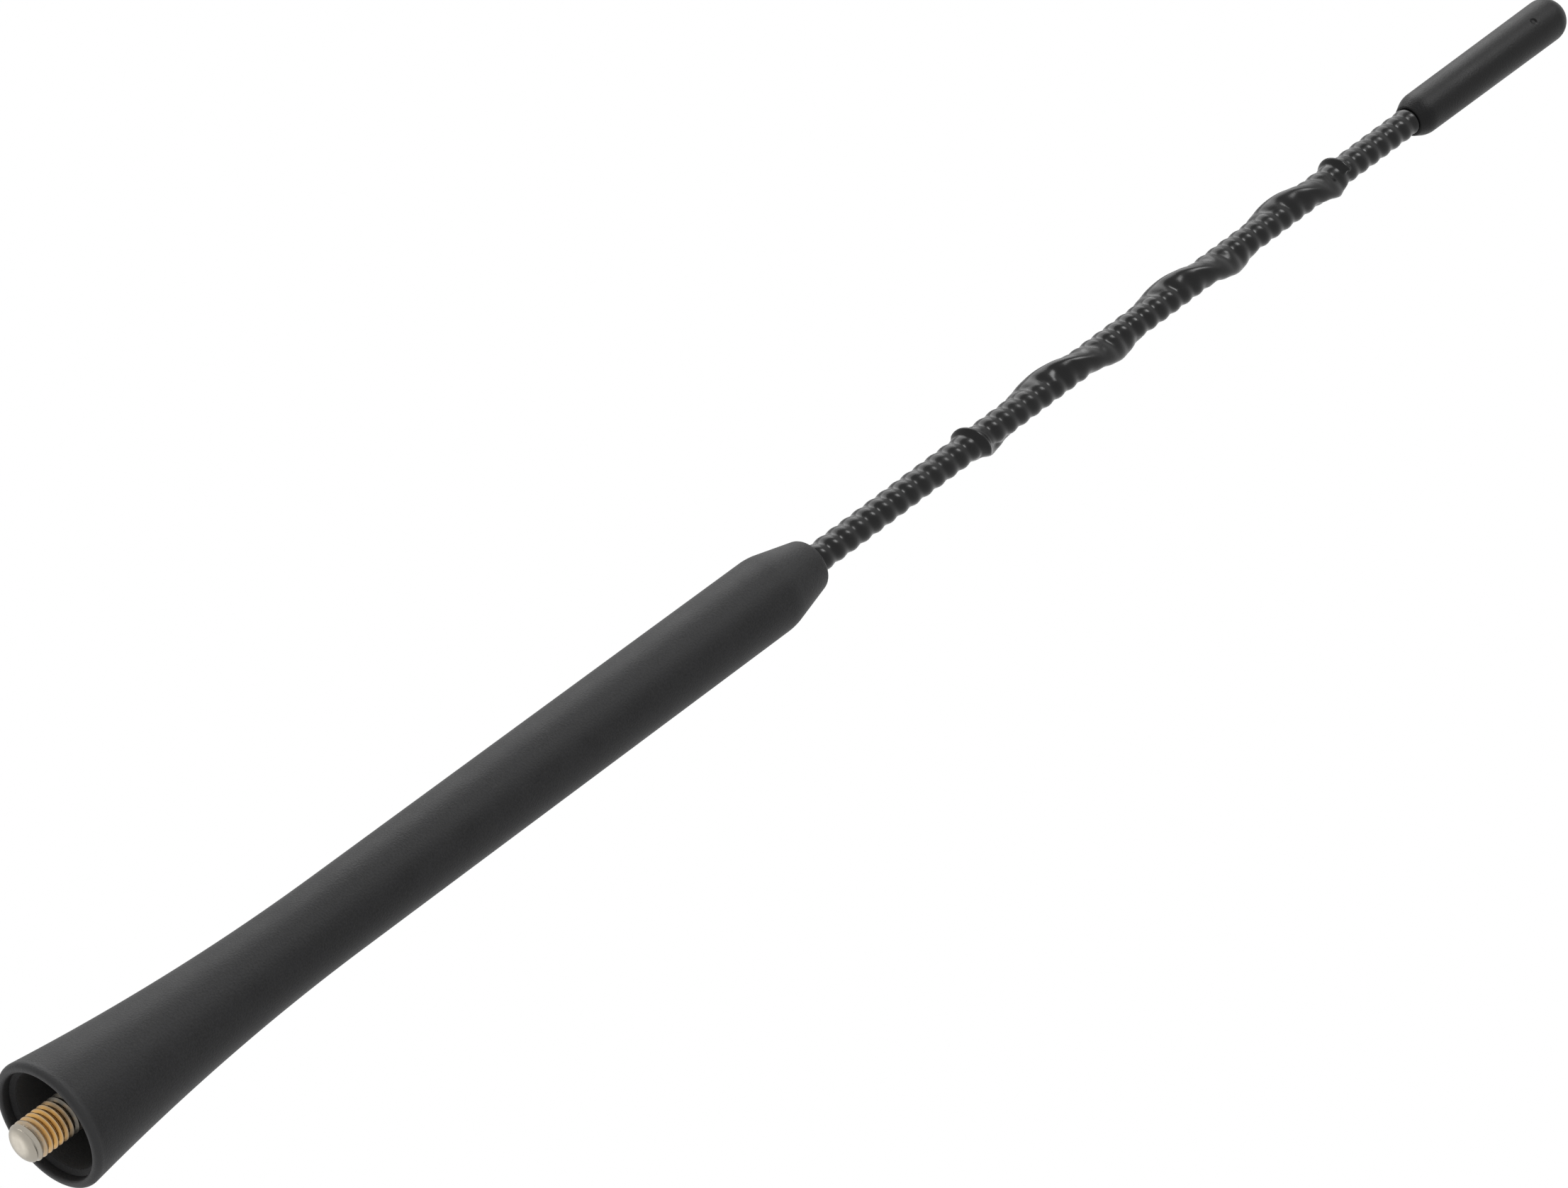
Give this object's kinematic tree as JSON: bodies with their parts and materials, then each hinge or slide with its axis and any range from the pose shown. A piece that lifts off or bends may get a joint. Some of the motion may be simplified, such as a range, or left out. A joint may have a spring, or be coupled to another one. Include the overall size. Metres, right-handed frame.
{
  "type": "car antenna mast",
  "caption": "Short screw-on car antenna mast with a flared rubber boot, ribbed whip with a spiral strake and round tip cap.",
  "frame": {"origin": "centre of the boot's lip, on the mast's axis", "axes": "+Z along the mast to its tip, -Z out of the stud, -Y the side seen in the picture"},
  "size_m": [0.016, 0.016, 0.287],
  "materials": {
    "stud_metal": "turned, nickel worn to a gold tint",
    "boot_rubber": "matte, fine moulded grain",
    "rod_glass_fibre": "pultruded glass fibre",
    "winding_copper": "enamelled copper wire",
    "whip_skin": "satin shrunk sleeve",
    "cap_rubber": "matte moulded"
  },
  "bodies": {
    "root": {"stud_ferrule": "stud_metal", "rubber_boot": "boot_rubber", "glass_fibre_rod": "rod_glass_fibre", "wire_winding": "winding_copper", "ribbed_sleeve": "whip_skin", "spiral_strake": "whip_skin", "tip_cap": "cap_rubber"}
  },
  "joints": []
}
